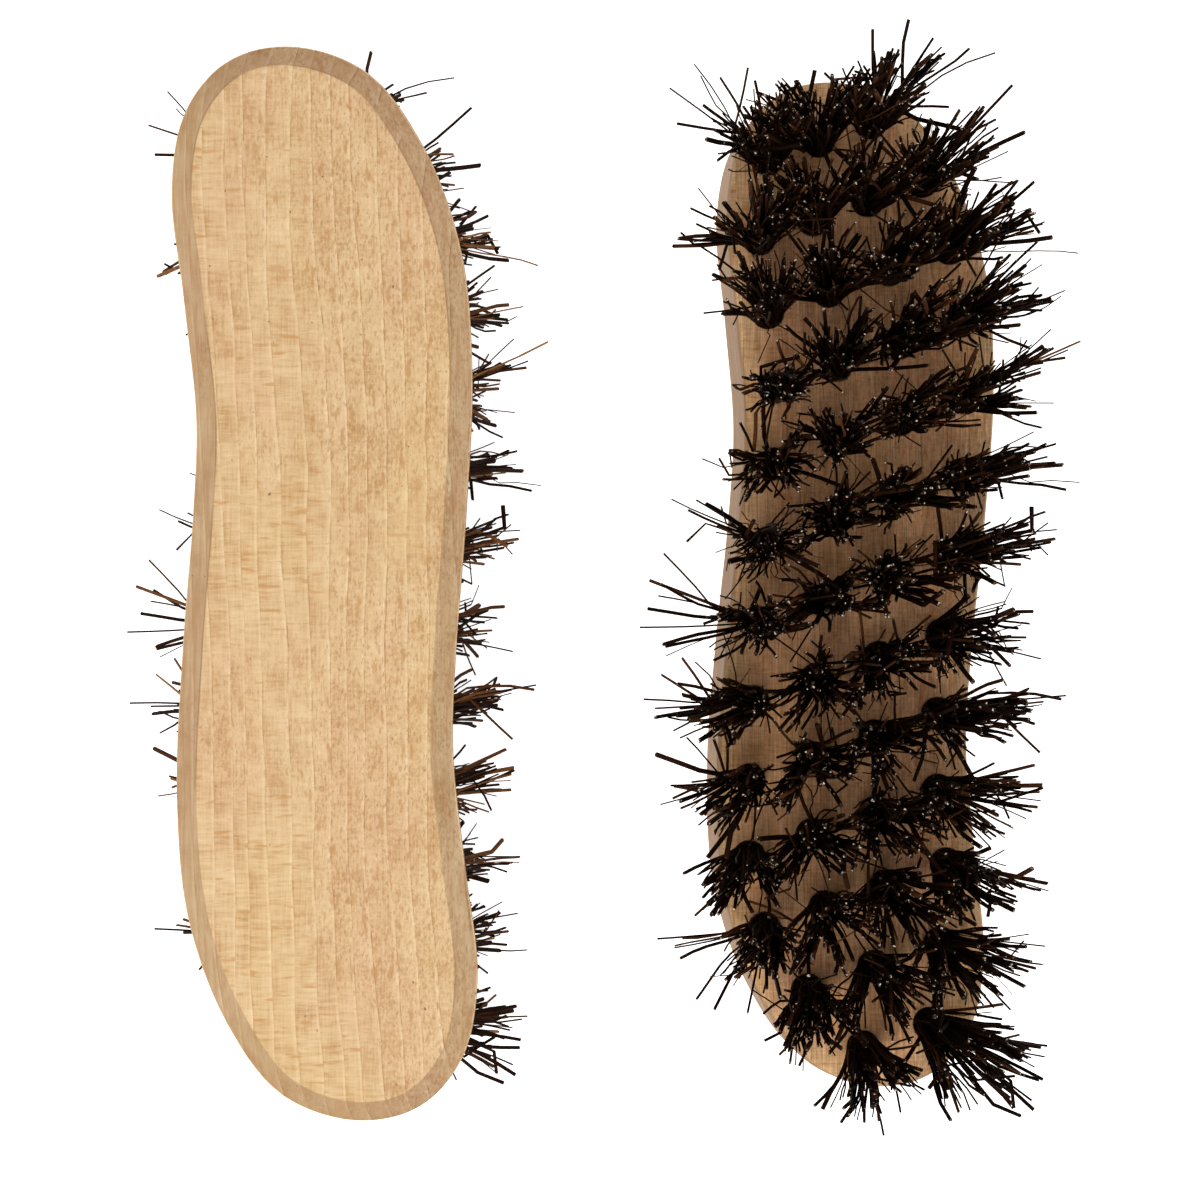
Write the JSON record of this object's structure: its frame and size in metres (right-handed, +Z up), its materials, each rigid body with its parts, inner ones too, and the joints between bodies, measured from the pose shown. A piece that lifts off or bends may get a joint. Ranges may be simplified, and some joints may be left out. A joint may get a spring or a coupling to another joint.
{
  "type": "scrubbing brush pair",
  "caption": "Pair of S-shaped wooden scrubbing brushes with stiff dark plant-fibre bristles, lying side by side, back up and bristles up.",
  "frame": {"origin": "middle of the underside of the pair: the floor under the left brush's bristle ends and the right brush's back, halfway between the two brushes", "axes": "+Z up, +Y along the brushes towards their heads, +X from the left brush to the right brush"},
  "size_m": [0.1874, 0.2246, 0.048],
  "materials": {
    "wood": "matte",
    "fibre": "matte"
  },
  "bodies": {
    "root": {"left_block": "wood", "left_tuft_row_01": "fibre", "left_tuft_row_02": "fibre", "left_tuft_row_03": "fibre", "left_tuft_row_04": "fibre", "left_tuft_row_05": "fibre", "left_tuft_row_06": "fibre", "left_tuft_row_07": "fibre", "left_tuft_row_08": "fibre", "left_tuft_row_09": "fibre", "left_tuft_row_10": "fibre", "left_tuft_row_11": "fibre", "left_tuft_row_12": "fibre", "left_tuft_row_13": "fibre", "right_block": "wood", "right_tuft_row_01": "fibre", "right_tuft_row_02": "fibre", "right_tuft_row_03": "fibre", "right_tuft_row_04": "fibre", "right_tuft_row_05": "fibre", "right_tuft_row_06": "fibre", "right_tuft_row_07": "fibre", "right_tuft_row_08": "fibre", "right_tuft_row_09": "fibre", "right_tuft_row_10": "fibre", "right_tuft_row_11": "fibre", "right_tuft_row_12": "fibre", "right_tuft_row_13": "fibre"}
  },
  "joints": []
}
